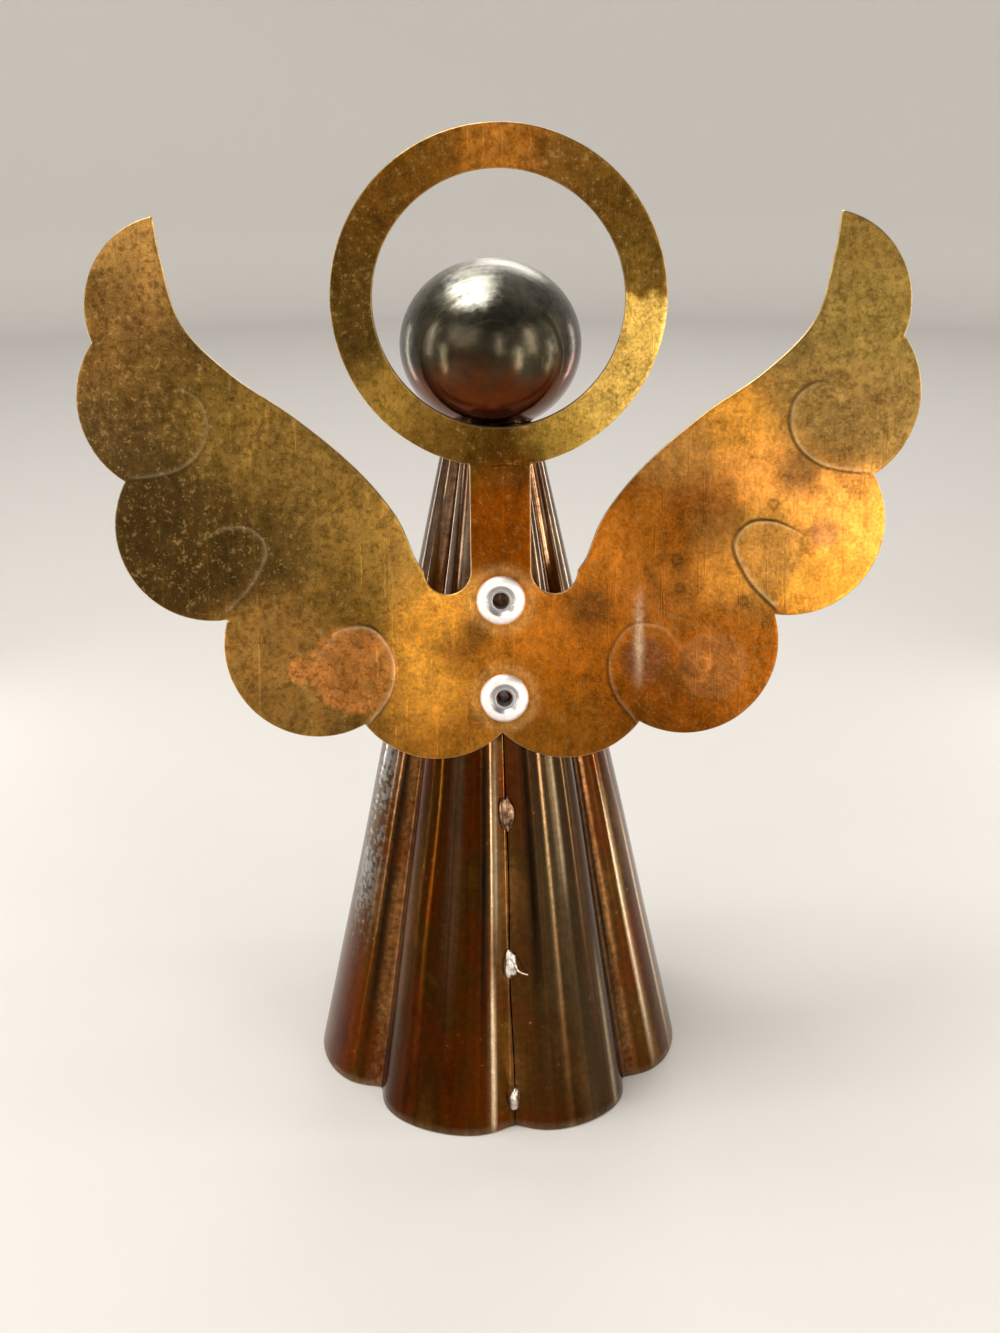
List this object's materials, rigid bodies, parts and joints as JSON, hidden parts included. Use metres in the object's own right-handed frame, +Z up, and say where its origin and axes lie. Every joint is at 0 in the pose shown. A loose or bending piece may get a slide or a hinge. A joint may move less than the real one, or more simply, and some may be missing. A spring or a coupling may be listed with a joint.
{
  "type": "sanctus bell",
  "caption": "Angel-shaped brass hand bell: fluted cone skirt, ball head, riveted wing and halo sheet, and a clapper hung on a link inside.",
  "frame": {"origin": "centre of the footprint, on the surface that the rim stands on; the bell's own axis is 1.04 mm to -X of it", "axes": "+Z up, -Y towards the side with the wings and rivets, +X to the right seen from that side"},
  "size_m": [0.1066, 0.0541, 0.1313],
  "materials": {
    "skirt_brass": "dark brown tarnish, polished on the crests",
    "wing_brass": "bright brass with speckled olive and orange-brown tarnish",
    "solder": "dull, lumpy",
    "rivet_aluminium": "satin",
    "silvered_head": "polished, tarnished silver plate with fine scratches",
    "plain_brass": "turned, dull",
    "steel_wire": "drawn wire, satin"
  },
  "bodies": {
    "bell": {"bell_skirt": "skirt_brass", "solder_tack_upper": "solder", "solder_tack_middle": "solder", "solder_tack_lower": "solder", "wing_halo_plate": "wing_brass", "rivet_upper_sleeve": "rivet_aluminium", "rivet_upper_mandrel": "steel_wire", "rivet_lower_sleeve": "rivet_aluminium", "rivet_lower_mandrel": "steel_wire", "head_ball": "silvered_head", "head_nut": "plain_brass", "top_disc": "plain_brass", "lock_washer": "steel_wire", "eye_screw": "steel_wire"},
    "link": {"clapper_link": "steel_wire"},
    "clapper": {"clapper_rod": "steel_wire", "clapper_ball": "plain_brass"}
  },
  "joints": [
    {"name": "link_swing", "type": "hinge", "parent": "bell", "child": "link", "pos_m": [-0.00104, 0, 0.08563], "axis": [1, 0, 0], "range_deg": [-8.5, 8.5]},
    {"name": "clapper_swing", "type": "hinge", "parent": "link", "child": "clapper", "pos_m": [-0.00104, 0, 0.08008], "axis": [0, 1, 0], "range_deg": [-8.5, 8.5]}
  ]
}
